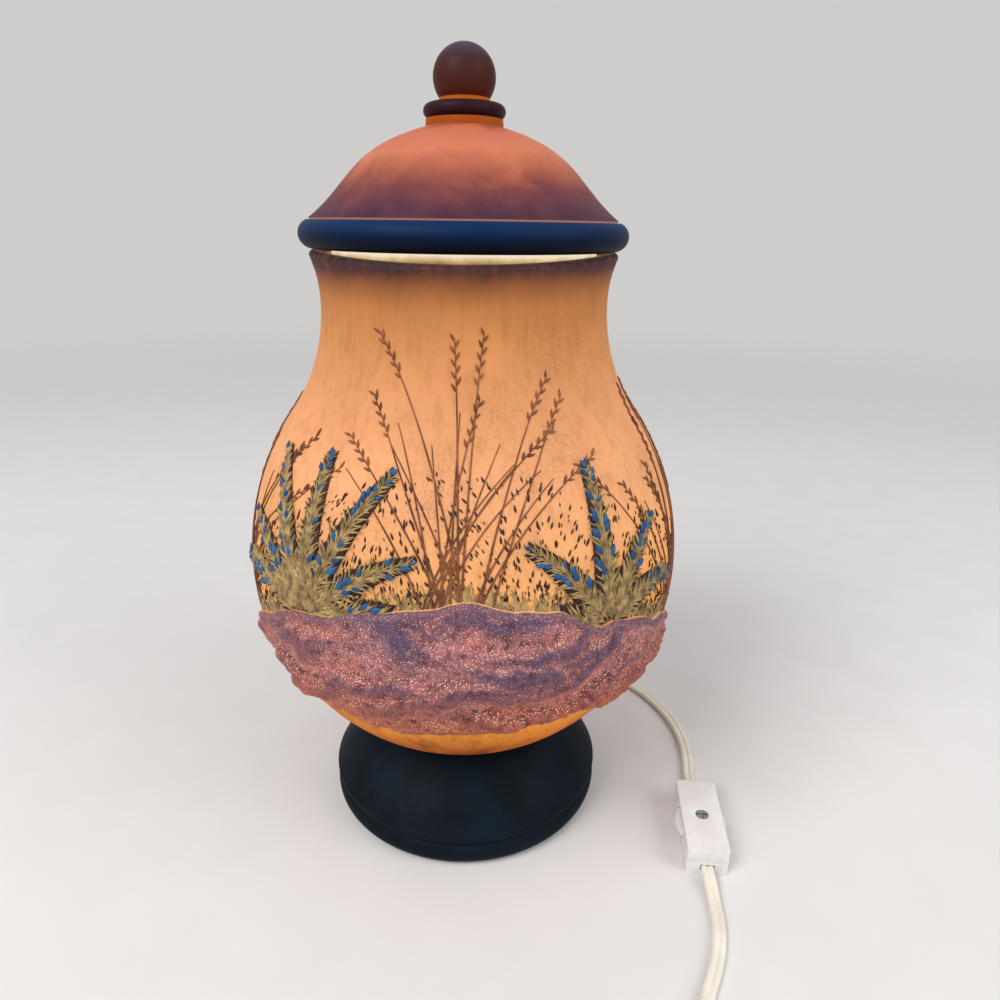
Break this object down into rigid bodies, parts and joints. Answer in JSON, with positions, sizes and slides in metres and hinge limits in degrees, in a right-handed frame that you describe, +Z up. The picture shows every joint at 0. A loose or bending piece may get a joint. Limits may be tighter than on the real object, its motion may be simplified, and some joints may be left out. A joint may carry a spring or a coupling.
{
  "type": "table lamp",
  "caption": "Lidded bisque jar lamp on a turned base, lit from inside by a bulb, with a flat cord, an in-line thumb-wheel switch and a two-blade plug.",
  "frame": {"origin": "centre of the base on the table", "axes": "+Z up along the jar's axis, -Y towards the viewer of the front, +X to the viewer's right"},
  "size_m": [0.2012, 0.3233, 0.305],
  "materials": {
    "felt": "matte",
    "painted_base": "satin",
    "bisque": "matte",
    "lid_bisque": "satin",
    "brass": "satin",
    "steel": "satin",
    "fibre": "matte",
    "moulded_brown": "satin",
    "copper": "satin",
    "bulb_glass": "gloss",
    "black_glass": "gloss",
    "ivory_pvc": "satin",
    "black_rubber": "matte"
  },
  "bodies": {
    "lamp": {"base_pad": "felt", "base": "painted_base", "jar": "bisque", "nipple": "brass", "lower_washer": "steel", "lower_nut": "steel", "upper_washer": "steel", "upper_nut": "brass", "socket_cap": "brass", "socket_set_screw": "steel", "socket_shell": "brass", "socket_sleeve": "fibre", "socket_body": "moulded_brown", "screw_shell": "brass", "centre_contact": "brass", "terminal_screws": "brass", "socket_leads": "copper", "cord_bushing": "black_rubber", "inner_cord": "ivory_pvc", "cord_to_switch": "ivory_pvc", "switch_lower_case": "ivory_pvc", "switch_upper_case": "ivory_pvc", "switch_screw": "steel", "switch_nut": "steel", "switch_contacts": "brass", "switch_leads": "ivory_pvc", "cord_to_coil": "ivory_pvc", "cord_coil": "ivory_pvc", "coil_tie": "ivory_pvc", "cord_tail": "ivory_pvc", "plug_body": "ivory_pvc", "plug_blades": "brass"},
    "lid": {"lid": "lid_bisque"},
    "bulb": {"bulb_contact": "steel", "bulb_insulator": "black_glass", "bulb_cap": "steel", "bulb_glass": "bulb_glass", "bulb_stem": "bulb_glass", "bulb_filament": "steel"},
    "thumb_wheel": {"switch_wheel": "ivory_pvc", "switch_cam": "brass"}
  },
  "joints": [
    {"name": "lid_lift", "type": "slide", "parent": "lamp", "child": "lid", "axis": [0, 0, 1], "range_m": [0, 0.09]},
    {"name": "bulb_out", "type": "slide", "parent": "lamp", "child": "bulb", "axis": [0, 0, 1], "range_m": [0, 0.028]},
    {"name": "wheel_turn", "type": "hinge", "parent": "lamp", "child": "thumb_wheel", "pos_m": [0.1025, -0.041, 0.007], "axis": [0, 0, 1], "continuous": true}
  ]
}
